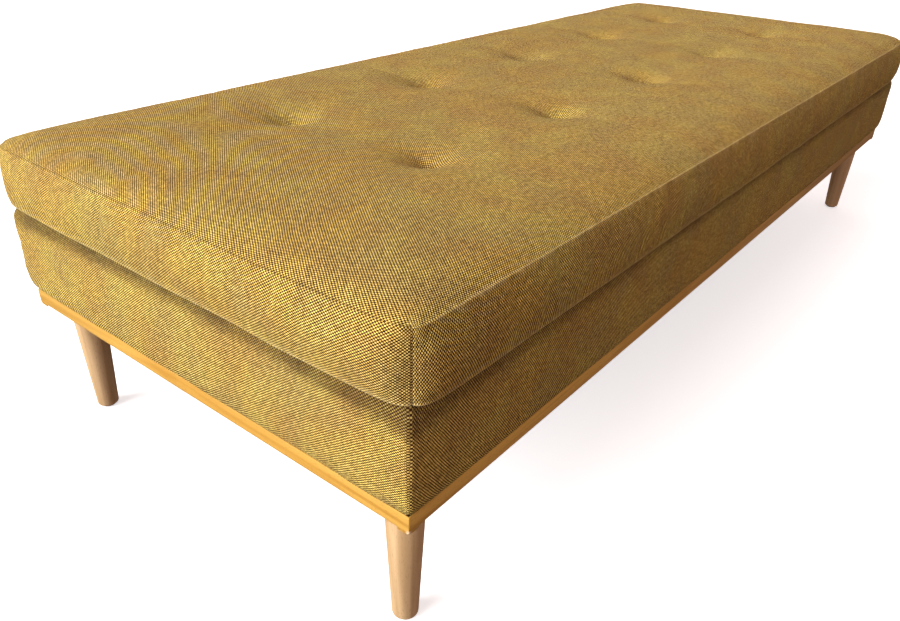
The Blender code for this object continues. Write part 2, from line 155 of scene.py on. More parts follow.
class Signal:
    """A shader socket that sums can use: each operator on it adds its Math node."""

    def __init__(self, tree, socket=None):
        self.tree = tree
        self.socket = socket

    def node(self, kind, settings, inputs, output=0):
        """Adds a node, makes its settings, fills or links its inputs, and returns one output."""
        added = self.tree.nodes.new(kind)
        for name, value in settings.items():
            setattr(added, name, value)
        for name, value in inputs.items():
            if isinstance(value, Signal):
                self.tree.links.new(value.socket, added.inputs[name])
            else:
                added.inputs[name].default_value = value
        return Signal(self.tree, added.outputs[output])

    def math(self, operation, *values):
        return self.node("ShaderNodeMath", {"operation": operation}, dict(enumerate(values)))

    def __add__(self, other):
        return self.math("ADD", self, other)

    def __sub__(self, other):
        return self.math("SUBTRACT", self, other)

    def __rsub__(self, other):
        return self.math("SUBTRACT", other, self)

    def __mul__(self, other):
        return self.math("MULTIPLY", self, other)

    def __truediv__(self, other):
        return self.math("DIVIDE", self, other)

    __radd__ = __add__
    __rmul__ = __mul__

    def between(self, low, high):
        """A soft step, from 0 at low to 1 at high."""
        inputs = {"Value": self, "From Min": low, "From Max": high}
        return self.node("ShaderNodeMapRange", {"interpolation_type": "SMOOTHSTEP"}, inputs)

    def blend(self, low, high):
        """The colour low where this is 0, and high where it is 1."""
        colours = [c if isinstance(c, Signal) else (*c, 1.0) for c in (low, high)]
        inputs = {0: self, 6: colours[0], 7: colours[1]}
        return self.node("ShaderNodeMix", {"data_type": "RGBA"}, inputs, 2)

    def shade(self, colour, least, most):
        """The colour, made darker or lighter by this signal, from least at 0 to most at 1."""
        factor = self * (most - least) + least
        grey = self.node("ShaderNodeCombineColor", {}, {0: factor, 1: factor, 2: factor})
        return self.node(
            "ShaderNodeMix", {"data_type": "RGBA", "blend_type": "MULTIPLY"}, {0: 1.0, 6: colour, 7: grey}, 2
        )


def material(name, **fixed):
    """A new material with these fixed sockets, and a signal to start its node sums from."""
    made = bpy.data.materials.new(name)
    made.use_nodes = True
    for socket, value in fixed.items():
        made.node_tree.nodes["Principled BSDF"].inputs[socket.replace("_", " ")].default_value = value
    return made, Signal(made.node_tree)


def finish_with(start, relief=None, depth=0.0, **varying):
    """Links what varies over the surface, and its relief, to the material's shader."""
    shader = start.tree.nodes["Principled BSDF"]
    if relief is not None:
        bump = {"Height": relief, "Distance": depth, "Strength": 1.0}
        varying["Normal"] = start.node("ShaderNodeBump", {}, bump)
    for socket, signal in varying.items():
        start.tree.links.new(signal.socket, shader.inputs[socket.replace("_", " ")])


def place(start, stretch=(1.0, 1.0, 1.0)):
    """The object's own coordinates, squeezed along the axes where a pattern runs long."""
    own = start.node("ShaderNodeTexCoord", {}, {}, 3)
    return start.node("ShaderNodeMapping", {}, {"Vector": own, "Scale": stretch})


def noise_at(where, scale, detail=2.0, distortion=0.0):
    inputs = {"Vector": where, "Scale": scale, "Detail": detail, "Distortion": distortion}
    return where.node("ShaderNodeTexNoise", {"noise_dimensions": "3D"}, inputs)


def wood(name, along, pale_tone, deep_tone, fleck_tone, matte, streaks=55.0, figure=0.05, **fixed):
    """Sawn or turned wood with its grain along one axis."""
    made, start = material(name, **fixed)
    long_grain = place(start, tuple(figure if axis == along else 1.0 for axis in range(3)))
    flecked = place(start, tuple(0.16 if axis == along else 1.0 for axis in range(3)))
    broad = noise_at(long_grain, streaks, 3.0, 0.6)
    fine = noise_at(long_grain, 420.0, 2.0)
    pores = noise_at(flecked, 900.0, 1.0).between(0.62, 0.74)
    tone = (broad.between(0.3, 0.7) * 0.7 + fine * 0.3).blend(pale_tone, deep_tone)
    tone = (pores * 0.55).blend(tone, fleck_tone)
    relief = fine * 0.6 - pores * 0.5
    roughness = matte + fine * 0.12
    finish_with(start, relief, 0.00012, Base_Color=tone, Roughness=roughness)
    return made


def primitive(name, add, **sizes):
    """Adds a primitive at its place and size, alone selected, with its place in its mesh."""
    bpy.ops.object.select_all(action="DESELECT")
    add(**sizes)
    piece = bpy.context.object
    piece.name = piece.data.name = name
    bpy.ops.object.transform_apply(location=True, rotation=True, scale=True)
    bpy.ops.object.mode_set(mode="EDIT")
    return piece


def pick(kind, wanted):
    """Selects the vertices, edges or faces whose middle and direction pass the test."""
    bpy.ops.mesh.select_mode(type=kind)
    bpy.ops.mesh.select_all(action="DESELECT")
    mesh = bmesh.from_edit_mesh(bpy.context.object.data)
    if kind == "VERT":
        chosen = [part for part in mesh.verts if wanted(part.co, part.normal)]
    elif kind == "EDGE":
        ends = [(part, part.verts[0].co, part.verts[1].co) for part in mesh.edges]
        chosen = [part for part, a, b in ends if wanted((a + b) / 2, (b - a).normalized())]
    else:
        chosen = [part for part in mesh.faces if wanted(part.calc_center_median(), part.normal)]
    for part in chosen:
        part.select_set(True)
    mesh.select_flush_mode()
    bmesh.update_edit_mesh(bpy.context.object.data)


def done(piece, finish, body, slot, *replaced, smooth=35):
    """Leaves edit mode, shades the piece, gives it its finish and ties it to the frame."""
    bpy.ops.object.mode_set(mode="OBJECT")
    bpy.ops.object.shade_smooth_by_angle(angle=math.radians(smooth))
    piece.data.materials.clear()
    piece.data.materials.append(finish)
    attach(piece, body)
    if replaced:
        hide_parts(*replaced)


def copy_to(piece, name, offset):
    """A copy of a modelled piece, with its own mesh, moved by the offset."""
    bpy.ops.object.select_all(action="DESELECT")
    piece.select_set(True)
    bpy.context.view_layer.objects.active = piece
    bpy.ops.object.duplicate()
    twin = bpy.context.object
    twin.name = twin.data.name = name
    bpy.ops.transform.translate(value=offset)
    bpy.ops.object.transform_apply(location=True, rotation=True, scale=True)
    return twin


CORNERS = ("front_left", "front_right", "back_left", "back_right")
pale_beech = wood(
    "pale_beech", 2, (0.64, 0.45, 0.245), (0.44, 0.28, 0.13), (0.30, 0.17, 0.08), 0.55, 90.0, 0.03
)
leg_low, leg_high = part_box("leg_front_left")
leg_middle = (leg_low + leg_high) / 2
leg_top_radius = (leg_high.x - leg_low.x) / 2
leg = primitive(
    "turned_leg_front_left",
    bpy.ops.mesh.primitive_cone_add,
    vertices=TURNED_SIDES,
    radius1=FOOT_RADIUS,
    radius2=leg_top_radius,
    depth=leg_high.z - leg_low.z,
    location=leg_middle,
)
pick("EDGE", lambda middle, way: middle.z < leg_low.z + 0.001 and abs(way.z) < 0.1)
bpy.ops.mesh.bevel(offset=FOOT_EASING, segments=5)
pick("EDGE", lambda middle, way: middle.z > leg_high.z - 0.0001 and abs(way.z) < 0.1)
bpy.ops.mesh.bevel(offset=TOP_EASING, segments=2)
pick("FACE", lambda middle, way: way.z > 0.99 and (middle - leg_middle).xy.length < 0.001)
bpy.ops.mesh.inset(thickness=leg_top_radius - TOP_EASING - BOLT_HOLE_RADIUS)
bpy.ops.mesh.extrude_region_move(TRANSFORM_OT_translate={"value": (0.0, 0.0, -BOLT_HOLE_DEPTH)})
done(leg, pale_beech, "base", "pale_beech", "leg_front_left")
for corner in CORNERS[1:]:
    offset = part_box(f"leg_{corner}")[0] - leg_low
    twin = copy_to(leg, f"turned_leg_{corner}", offset)
    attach(twin, "base")
    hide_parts(f"leg_{corner}")

# Glides and fixings: pressed felt pads under the feet, and zinc-plated hanger bolts and tee nuts
# that hold the legs to the corner blocks.
felt, start = material("grey_felt", Roughness=0.95, Sheen_Weight=0.4, Sheen_Roughness=0.5)
fibres = noise_at(place(start), 900.0, 4.0, 1.5)
clumps = noise_at(place(start), 160.0, 2.0)
finish_with(
    start,
    fibres,
    0.0004,
    Base_Color=(fibres * 0.6 + clumps * 0.4).blend((0.10, 0.095, 0.09), (0.34, 0.32, 0.30)),
)
zinc_steel, start = material("zinc_steel", Metallic=1.0)
crystals = noise_at(place(start), 700.0, 3.0)
finish_with(
    start,
    crystals,
    0.00004,
    Base_Color=crystals.blend((0.50, 0.51, 0.52), (0.70, 0.71, 0.73)),
    Roughness=crystals * 0.25 + 0.25,
)


def cover_node(name, finish):
    """Gives a carried-over frame node its finish."""
    nodes[name].data.materials.clear()
    nodes[name].data.materials.append(finish)


for corner in CORNERS:
    cover_node(f"glide_{corner}", felt)
    cover_node(f"leg_bolt_{corner}", zinc_steel)
    cover_node(f"tee_nut_{corner}", zinc_steel)

# Plinth: four strips of clear-lacquered beech round the foot of the box, mitred at the corners.
# The lower edge is rounded over, the others are just broken, and the front left tip is worn pale.
PLINTH_ROUNDING = 0.006
BROKEN_EDGE = 0.0009


def lacquered(name, along):
    """Golden beech under clear lacquer, its grain along one axis, worn pale at one tip."""
    made, start = material(name, Coat_Weight=0.35, Coat_Roughness=0.2, Coat_IOR=1.5)
    long_grain = place(start, tuple(0.035 if axis == along else 1.0 for axis in range(3)))
    flecked = place(start, tuple(0.12 if axis == along else 1.0 for axis in range(3)))
    broad = noise_at(long_grain, 70.0, 3.0, 0.8).between(0.36, 0.64)
    fine = noise_at(long_grain, 520.0, 2.0)
    pores = noise_at(flecked, 1100.0, 1.0).between(0.60, 0.72)
    tone = (broad * 0.75 + fine * 0.25).blend((0.68, 0.40, 0.085), (0.46, 0.23, 0.034))
    tone = (pores * 0.5).blend(tone, (0.27, 0.11, 0.02))
    tip = start.node(
        "ShaderNodeVectorMath",
        {"operation": "DISTANCE"},
        {0: place(start), 1: (plinth_low.x, plinth_low.y, plinth_low.z + 0.002)},
        1,
    )
    worn = 1 - (tip + noise_at(place(start), 500.0) * 0.006).between(0.0065, 0.0085)
    tone = (worn * 0.9).blend(tone, (0.80, 0.62, 0.42))
    relief = fine * 0.5 - pores * 0.4
    finish_with(start, relief, 0.00008, Base_Color=tone, Roughness=worn * 0.35 + fine * 0.1 + 0.3)
    return made


front_strip_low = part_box("plinth_front")[0]
plinth_low = Vector((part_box("plinth_left")[0].x, front_strip_low.y, front_strip_low.z))
lacquer = {0: lacquered("lacquered_beech_long", 0), 1: lacquered("lacquered_beech_short", 1)}
for side, outward in (("front", (0, -1)), ("back", (0, 1)), ("left", (-1, 0)), ("right", (1, 0))):
    along = 0 if outward[0] == 0 else 1
    across = 1 - along
    low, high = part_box(f"plinth_{side}")
    strip = primitive(
        f"plinth_strip_{side}",
        bpy.ops.mesh.primitive_cube_add,
        size=1.0,
        location=(low + high) / 2,
        scale=high - low,
    )
    outer = (low if outward[across] < 0 else high)[across]
    for end in (-1, 1):
        tip = [0.0, 0.0, low.z]
        tip[along] = (high if end > 0 else low)[along]
        tip[across] = outer
        cut_way = [0.0, 0.0, 0.0]
        cut_way[along] = end
        cut_way[across] = outward[across]
        bpy.ops.mesh.select_all(action="SELECT")
        bpy.ops.mesh.bisect(plane_co=tip, plane_no=cut_way, use_fill=True, clear_outer=True)
    pick(
        "EDGE",
        lambda middle, way: abs(way[along]) > 0.99
        and abs(middle[across] - outer) < 1e-4
        and middle.z < low.z + 1e-4,
    )
    bpy.ops.mesh.bevel(offset=PLINTH_ROUNDING, segments=6)
    bpy.ops.object.mode_set(mode="OBJECT")
    easing = strip.modifiers.new("broken_edges", "BEVEL")
    easing.width = BROKEN_EDGE
    easing.segments = 2
    easing.angle_limit = math.radians(40)
    bpy.ops.object.modifier_apply(modifier=easing.name)
    bpy.ops.object.mode_set(mode="EDIT")
    done(strip, lacquer[along], "base", "lacquered_beech", f"plinth_{side}")

# Box frame: pine boards on edge with three cross rails and corner blocks, a plywood deck in two
# halves, and a thin black dust cover stapled underneath.
pine_look = ((0.68, 0.49, 0.27), (0.54, 0.34, 0.16), (0.40, 0.22, 0.09), 0.62, 28.0, 0.03)
pine = {axis: wood(f"pine_along_{'xyz'[axis]}", axis, *pine_look) for axis in (0, 1, 2)}
for side in ("front", "back"):
    cover_node(f"frame_{side}", pine[0])
for name in ("frame_left", "frame_right", "cross_rail_left", "cross_rail_middle", "cross_rail_right"):
    cover_node(name, pine[1])
for corner in CORNERS:
    cover_node(f"corner_block_{corner}", pine[2])
plywood = wood(
    "plywood", 0, (0.62, 0.46, 0.28), (0.50, 0.34, 0.18), (0.36, 0.22, 0.11), 0.62, 16.0, 0.08
)
for half in ("left", "right"):
    cover_node(f"deck_board_{half}", plywood)

lining, start = material("black_lining", Roughness=0.9, Sheen_Weight=0.2)
threads = [
    start.node("ShaderNodeTexWave", {"bands_direction": way}, {"Vector": place(start), "Scale": 350.0}, 1)
    for way in ("X", "Y")
]
spun = noise_at(place(start), 240.0, 4.0)
finish_with(
    start,
    threads[0] * threads[1] + spun * 0.5,
    0.0002,
    Base_Color=(spun * 0.7 + threads[0] * 0.3).blend((0.012, 0.012, 0.013), (0.06, 0.06, 0.065)),
)
cover_node("dust_cover", lining)

# Foam: a sheet of cream open-cell foam on the deck, hidden under its cloth. The strip round the
# box and the mattress's core are the filling of the two padded pieces further down.
foam, start = material("cream_foam", Roughness=0.95)
cells = start.node("ShaderNodeTexVoronoi", {}, {"Vector": place(start), "Scale": 700.0})
patches = noise_at(place(start), 9.0, 3.0)
finish_with(
    start,
    cells,
    0.0006,
    Base_Color=(cells * 0.5 + patches * 0.5).blend((0.62, 0.55, 0.36), (0.86, 0.81, 0.63)),
)
cover_node("deck_foam", foam)

# Cloth: a heavy plain weave in mustard, whose thick soft yarns pass over and under with dark gaps
# between. Its threads run true to each panel, so the pattern follows a map of the flat panels.
WARP_PITCH = 0.00175
WEFT_PITCH = 0.0024
YARN_WANDER = 0.0008
YARN_RELIEF = 0.0007
DEEPEST_PAINTED_SHADE = 0.75


def mustard_weave(name):
    """The cover cloth on the piece's own map of its flat panels, in metres."""
    made, start = material(name, Roughness=0.9, Sheen_Weight=0.04, Sheen_Roughness=0.5)
    shader = made.node_tree.nodes["Principled BSDF"]
    shader.inputs["Sheen Tint"].default_value = (1.0, 0.78, 0.40, 1.0)
    shader.inputs["Specular IOR Level"].default_value = 0.12
    flat = start.node("ShaderNodeUVMap", {"uv_map": "panels"}, {})
    wander = start.node("ShaderNodeTexNoise", {}, {"Vector": flat, "Scale": 28.0, "Detail": 1.0}, 1)
    centred = start.node("ShaderNodeVectorMath", {"operation": "SUBTRACT"}, {0: wander, 1: (0.5, 0.5, 0.5)})
    shift = start.node("ShaderNodeVectorMath", {"operation": "SCALE"}, {0: centred, "Scale": YARN_WANDER})
    drawn = start.node("ShaderNodeVectorMath", {"operation": "ADD"}, {0: flat, 1: shift})
    across = start.node("ShaderNodeSeparateXYZ", {}, {0: drawn}, 0) / WARP_PITCH
    down = start.node("ShaderNodeSeparateXYZ", {}, {0: drawn}, 1) / WEFT_PITCH
    warp, weft = ((way * math.pi).math("COSINE", way * math.pi) for way in (across, down))
    lift = warp * weft * 0.5 + 0.5

    # One random number for each crossing, and one for each thread
    cell = start.node(
        "ShaderNodeCombineXYZ",
        {},
        {0: (across + 0.5).math("FLOOR", across + 0.5), 1: (down + 0.5).math("FLOOR", down + 0.5)},
    )
    odd = start.node("ShaderNodeTexWhiteNoise", {"noise_dimensions": "2D"}, {"Vector": cell}, 0)
    warp_streak, weft_streak = (
        start.node(
            "ShaderNodeTexNoise",
            {"noise_dimensions": "2D"},
            {"Vector": start.node("ShaderNodeMapping", {}, {"Vector": flat, "Scale": stretch}), "Scale": 1.0},
        )
        for stretch in ((420.0, 9.0, 1.0), (9.0, 330.0, 1.0))
    )
    nap = noise_at(place(start), 16.0, 3.0, 0.4).between(0.35, 0.65)
    fuzz = noise_at(place(start), 1500.0, 2.0)

    yarn = (odd * 0.55 + warp_streak * 0.25 + weft_streak * 0.2).blend((0.66, 0.43, 0.10), (1.0, 0.80, 0.27))
    yarn = (nap * 0.8).blend(yarn, (odd * 0.6 + nap * 0.2).blend((0.70, 0.51, 0.085), (0.98, 0.81, 0.23)))
    gap = odd.blend((0.026, 0.008, 0.002), (0.105, 0.038, 0.007))
    tone = lift.between(0.46, 0.68).blend(gap, yarn)
    drift = noise_at(place(start), 11.0, 4.0, 0.3).between(0.34, 0.66)
    cast = drift.blend((1.0, 0.91, 0.84), (0.98, 1.0, 1.0))
    multiplied = {"data_type": "RGBA", "blend_type": "MULTIPLY"}
    tone = start.node("ShaderNodeMix", multiplied, {0: 1.0, 6: tone, 7: cast}, 2)
    slubs = noise_at(flat, 150.0, 3.0).between(0.34, 0.66)
    tone = slubs.shade(nap.shade(tone, 0.92, 1.06), 0.80, 1.18)
    # Painted shade: where the mesh marks it, the cloth darkens towards deep brown, for the shade in seam
    # grooves and tuft dimples, under the mattress's edge and on the deck beneath it.
    creased = start.node("ShaderNodeAttribute", {"attribute_name": "creased"}, {}, 2)
    tone = (creased * DEEPEST_PAINTED_SHADE).blend(tone, (0.030, 0.012, 0.004))
    # Painted highlight, with rubbing: where the mesh marks it, the cloth turns pale yellow along the seam
    # ridges, partly worn and partly for the light the ridges catch.
    rubbed = start.node("ShaderNodeAttribute", {"attribute_name": "rubbed"}, {}, 2)
    tone = rubbed.blend(tone, (odd * 0.5 + 0.25).blend((0.62, 0.44, 0.17), (0.98, 0.84, 0.46)))
    relief = lift.between(0.1, 0.8) + fuzz * 0.2 + odd * 0.15
    finish_with(start, relief, YARN_RELIEF, Base_Color=tone)
    return made


weave = mustard_weave("mustard_weave")


def cut_across(axis, places):
    """Cuts the whole mesh square across an axis at each place."""
    for at in places:
        point, way = [0.0, 0.0, 0.0], [0.0, 0.0, 0.0]
        point[axis], way[axis] = at, 1.0
        bpy.ops.mesh.select_all(action="SELECT")
        bpy.ops.mesh.bisect(plane_co=point, plane_no=way)


def divide(axis, borders, fine_zones, coarse, fine):
    """Divides the mesh along an axis between the borders: finely in the fine zones."""
    cut_across(axis, borders[1:-1])
    for low, high in zip(borders, borders[1:]):
        close = any(a < (low + high) / 2 < b for a, b in fine_zones)
        cuts = round((high - low) / (fine if close else coarse)) - 1
        if cuts > 0:
            pick("EDGE", lambda middle, way: abs(way[axis]) > 0.99 and low < middle[axis] < high)
            bpy.ops.mesh.subdivide(number_cuts=cuts)


def points_of(piece):
    found = np.empty(len(piece.data.vertices) * 3, dtype=np.float32)
    piece.data.vertices.foreach_get("co", found)
    return found.reshape(-1, 3).astype(float)


def move_points(piece, points):
    piece.data.vertices.foreach_set("co", np.ascontiguousarray(points, dtype=np.float32).ravel())
    piece.data.update()


def lay_flat_map(piece, unroll=float):
    """Maps each face to its panel's flat cloth, in metres, with the threads running one way.

    The height up a side is unrolled along the cloth where the side curves.
    """
    panels = piece.data.uv_layers.new(name="panels")
    for face in piece.data.polygons:
        way = face.normal
        for loop in face.loop_indices:
            x, y, z = piece.data.vertices[piece.data.loops[loop].vertex_index].co
            if abs(way.z) > 0.7:
                panels.data[loop].uv = (x, y)
            elif abs(way.y) > abs(way.x):
                panels.data[loop].uv = (x, unroll(z))
            else:
                panels.data[loop].uv = (unroll(z), y)


def mark_wear_and_painted_light(piece, **amounts):
    """Marks how far the cloth is made pale, partly worn and partly painted highlight, or made dark with
    painted shade, at each point.
    """
    for name, amount in amounts.items():
        mark = piece.data.attributes.new(name, "FLOAT", "POINT")
        mark.data.foreach_set("value", np.ascontiguousarray(np.clip(amount, 0.0, 1.0), dtype=np.float32))


def swells(points, size, seed):
    """A smooth value from -1 to 1 at each point, with swells about this size."""
    offset = Vector((seed, -seed, seed * 0.5))
    return np.array([noise.noise(Vector(point) / size + offset) for point in points])


# Box upholstery: foam-backed cloth round the box, sewn at the four corners. It bellies out over
# the plinth, tucks in under its lower edge, and turns in over the top to meet the deck cloth. Its
# colour is deepened under the mattress's edge, to stand for the shadow in that gap.
SEAM_RISE = 0.0009
SHOULDER_IN, SHOULDER_DOWN = 0.0205, 0.029
TUCK_IN, TUCK_UP = 0.0112, 0.029
BELLY_FLOAT = 0.002
LIP_IN, LIP_DROP = 0.0030, 0.0032
DEEP_BAND, DEEP_BAND_FADE = 0.030, 0.015
case_low, case_left_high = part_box("case_cover_left")
case_low.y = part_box("case_cover_front")[0].y
case_high = Vector((-case_low.x, -case_low.y, case_left_high.z))
board = -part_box("deck_board_left")[0]
case = primitive(
    "box_upholstery",
    bpy.ops.mesh.primitive_cube_add,
    size=1.0,
    location=(case_low + case_high) / 2,
    scale=case_high - case_low,
)
pick("FACE", lambda middle, way: abs(way.z) > 0.9)
bpy.ops.mesh.delete(type="FACE")
for axis in (0, 1):
    reach = case_high[axis]
    edges = [reach - d for d in (0.0, 0.0014, 0.0032, 0.007, 0.014, 0.030)]
    divide(axis, [-e for e in edges] + edges[::-1], [], 0.012, 0.012)
height = case_high.z - case_low.z
rims = [case_low.z + d for d in (0.0, 0.0012, 0.003, 0.006, 0.011, 0.020)]
rims += [case_high.z - d for d in (0.032, 0.021, 0.014, 0.009, 0.005, 0.0025, 0.001, 0.0)]
divide(2, rims, [], 0.011, 0.011)
bpy.ops.object.mode_set(mode="OBJECT")


def rounded(drop, reach):
    """A quarter round, from 1 at its edge to 0 where it has run its reach."""
    return 1 - np.sqrt(1 - np.clip(1 - drop / reach, 0, 1) ** 2)


def side_profile(level):
    """How far the side is drawn in at a level, and how full its belly is there."""
    shoulder = SHOULDER_IN * rounded(case_high.z - level, SHOULDER_DOWN)
    tuck = TUCK_IN * rounded(level - case_low.z, TUCK_UP)
    belly = np.sin(np.clip((level - case_low.z) / height, 0, 1) * math.pi)
    return shoulder + tuck + (1 - belly) * BELLY_FLOAT, belly


levels = np.linspace(case_low.z, case_high.z, 400)
run = np.concatenate([[0.0], np.cumsum(np.hypot(np.diff(levels), np.diff(side_profile(levels)[0])))])
lay_flat_map(case, lambda level: float(np.interp(level, levels, run)))

points = points_of(case)
depth_below = case_high.z - points[:, 2]
pull_in, belly = side_profile(points[:, 2])
on_end = np.abs(np.abs(points[:, 0]) - case_high.x) < 1e-5
on_side = np.abs(np.abs(points[:, 1]) - case_high.y) < 1e-5
along_side = case_high.x - np.abs(points[:, 0])
along_end = case_high.y - np.abs(points[:, 1])
to_corner = np.where(on_end & on_side, 0.0, np.where(on_side, along_side, along_end))
wander = swells(points * [1, 1, 1.6], 0.055, 3.0) * 0.0009 + swells(points, 0.16, 9.0) * 0.0013
tug = np.exp(-to_corner / 0.020)
ripple = swells(points * [0.4, 0.4, 1.0], 0.016, 5.0) * np.exp(-to_corner / 0.012) * 0.0011
ridge = np.exp(-(((to_corner - 0.0024) / 0.0019) ** 2)) * SEAM_RISE * (1 + 0.5 * swells(points, 0.03, 7.0))
groove = np.exp(-((to_corner / 0.0011) ** 2)) * 0.0012
outwards = -pull_in - tug * (0.0030 + 0.0020 * belly) + wander * (1 - tug) + ripple + ridge - groove
level = np.round(points[:, 2], 5)
quarter = np.sign(points[:, 0]) + 3 * np.sign(points[:, 1])
at_corner = on_end & on_side
drawn_in = dict(zip(zip(quarter[at_corner], level[at_corner]), outwards[at_corner]))
follow = np.array([drawn_in[key] for key in zip(np.where(quarter == 0, 4, quarter), level)])
share = np.abs(points) / np.array(case_high)
for axis, own in ((0, on_end), (1, on_side)):
    points[:, axis] += np.sign(points[:, axis]) * np.where(own, outwards, follow * share[:, axis])
sideways = swells(points * [0.3, 0.3, 1.0], 0.035, 11.0) * 0.0016 * np.exp(-to_corner / 0.02)
points[:, 0] += np.where(on_side & ~on_end, sideways, 0.0)
points[:, 1] += np.where(on_end & ~on_side, sideways, 0.0)
move_points(case, points)
# Painted shadow: the cloth just under the mattress's edge is marked darker, taller near the corners and
# stronger on the ends, for the shadow cast by the mattress's overhang.
band = DEEP_BAND + 0.013 * np.exp(-to_corner / 0.14)
shaded = np.clip((band - depth_below) / DEEP_BAND_FADE, 0.0, 1.0) ** 1.2
shaded *= np.where(on_side & ~on_end, 0.66, 0.84)
mark_wear_and_painted_light(case, creased=shaded * (1 + 0.25 * swells(points * [1, 1, 0.5], 0.03, 13.0)))
at_rim = depth_below < 1e-5
rim = np.abs(points[on_end & at_rim][:, 0]).max(), np.abs(points[on_side & at_rim][:, 1]).max()


def square_up(inner, drop):
    """Moves the selected rim onto a rectangle inside it, and down a little."""
    mesh = bmesh.from_edit_mesh(bpy.context.object.data)
    for vert in mesh.verts:
        if vert.select:
            share = max(abs(vert.co.x) / rim[0], abs(vert.co.y) / rim[1])
            vert.co.x *= inner[0] / rim[0] / share
            vert.co.y *= inner[1] / rim[1] / share
            vert.co.z -= drop
    bmesh.update_edit_mesh(bpy.context.object.data)


bpy.ops.object.mode_set(mode="EDIT")
inside = (board.x + 0.0006, board.y + 0.0006)
lip = (rim[0] - LIP_IN, rim[1] - LIP_IN)
pick("EDGE", lambda middle, way: abs(middle.z - case_high.z) < 1e-4 and abs(way.z) < 0.01)
bpy.ops.mesh.extrude_region_move()
square_up(lip, LIP_DROP)
bpy.ops.mesh.extrude_region_move()
square_up(inside, 0.0)
pick("EDGE", lambda middle, way: abs(middle.z - case_low.z) < 1e-4 and abs(way.z) < 0.01)
bpy.ops.mesh.extrude_region_move()
square_up(inside, 0.0)


def on_inside(middle, way):
    far = max(abs(middle.x) - inside[0], abs(middle.y) - inside[1])
    return abs(far) < 1e-5 and abs(way.z) < 0.01


pick("EDGE", on_inside)
bpy.ops.mesh.bridge_edge_loops()
bpy.ops.mesh.select_all(action="SELECT")
bpy.ops.mesh.normals_make_consistent(inside=False)
done(
    case,
    weave,
    "base",
    "mustard_cloth",
    *(f"case_cover_{side}" for side in ("front", "back", "left", "right")),
    "border_foam",
    smooth=60,
)

# Deck cloth: the same cloth stretched over the foam on the deck and sewn to the four sides, where
# only a lifted mattress shows it. Its colour is darkened as painted shade, to meet the painted shadow on the
# box's upper edge.
DECK_SEAM = 0.0018
deck_cloth = primitive(
    "deck_cloth",
    bpy.ops.mesh.primitive_cube_add,
    size=1.0,
    location=(0.0, 0.0, case_high.z - 0.0013),
    scale=(2 * lip[0] + 2 * DECK_SEAM, 2 * lip[1] + 2 * DECK_SEAM, 0.0020),
)
for axis in (0, 1):
    reach = lip[axis] + DECK_SEAM
    divide(axis, [-reach, -reach + 0.004, reach - 0.004, reach], [], 0.03, 0.03)
bpy.ops.object.mode_set(mode="OBJECT")
lay_flat_map(deck_cloth)
points = points_of(deck_cloth)
slack = swells(points, 0.14, 21.0) * 0.0004 + swells(points, 0.035, 23.0) * 0.00015
points[:, 2] += np.where(points[:, 2] > case_high.z - 0.001, np.minimum(slack - 0.0002, 0.0001), 0.0)
move_points(deck_cloth, points)
bpy.ops.object.mode_set(mode="EDIT")


def on_hem(middle, way):
    return max(abs(middle.x) - lip[0], abs(middle.y) - lip[1]) > 0.0017 and abs(way.z) < 0.1


pick("EDGE", on_hem)
bpy.ops.mesh.bevel(offset=0.0008, segments=2)
done(deck_cloth, weave, "base", "mustard_cloth", "case_cover_top", smooth=60)
# Painted shade: the whole deck cloth is marked darker, as it lies in the shade under the mattress.
mark_wear_and_painted_light(deck_cloth, creased=0.50 + 0.15 * swells(points_of(deck_cloth), 0.30, 27.0))

# Mattress: a foam core in a sewn cover of a top, an underside and four boxing strips. Ten blind
# tufts draw the top down into the core; the cloth bellies between its seams and sags at the corners.
COARSE = 0.0135
FINE = 0.0066
TUFT_DEPTH = 0.0225
TUFT_ZONE = 0.040
SEAM_ROUNDING = 0.0090
SEAM_SHARES = {"top": 0.6, "base": 0.5, "corner": 1.0}
EDGE_ROLL = 0.0055
FRONT_HANG = 0.0020
END_HANG = -0.0030
CORNER_LIFT = {(-1, -1): 0.002, (-1, 1): 0.006, (1, -1): 0.005, (1, 1): 0.006}
CORNER_RADIUS = 0.024
CORNER_PULL = {
    (-1, -1): (0.005, 0.001),
    (-1, 1): (0.005, 0.005),
    (1, -1): (0.019, 0.010),
    (1, 1): (0.020, 0.013),
}
CORNER_BLUNTING = 0.055
SEAM_STEPS = 8
ZIP_ROOM = 0.0003
cover_low, cover_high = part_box("mattress_underside")
cover_high.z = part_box("boxing_front")[1].z + 0.0012
crown_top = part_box("mattress_top")[1].z
tufts = [(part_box(f"tie_{number}")[0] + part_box(f"tie_{number}")[1]).xy / 2 for number in range(1, 11)]
cover = primitive(
    "mattress_cover",
    bpy.ops.mesh.primitive_cube_add,
    size=1.0,
    location=(cover_low + cover_high) / 2,
    scale=cover_high - cover_low,
)
zip_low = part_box("zip_tape")[0].z - ZIP_ROOM
zip_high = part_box("zip_tape")[1].z + ZIP_ROOM
zip_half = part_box("zip_tape")[1].x + ZIP_ROOM
divide(2, [cover_low.z, zip_low, zip_high, cover_high.z - 0.0125, cover_high.z], [], 0.0105, 0.0105)
for axis in (1, 0):
    rows = sorted({round(tuft[axis], 4) for tuft in tufts})
    zones = [(row - TUFT_ZONE, row + TUFT_ZONE) for row in rows]
    borders = [cover_low[axis], *(edge for zone in zones for edge in zone), cover_high[axis]]
    if axis == 0:
        borders = sorted([*borders, -zip_half, zip_half])
    divide(axis, borders, zones, COARSE, FINE)
bpy.ops.object.mode_set(mode="OBJECT")
lay_flat_map(cover)

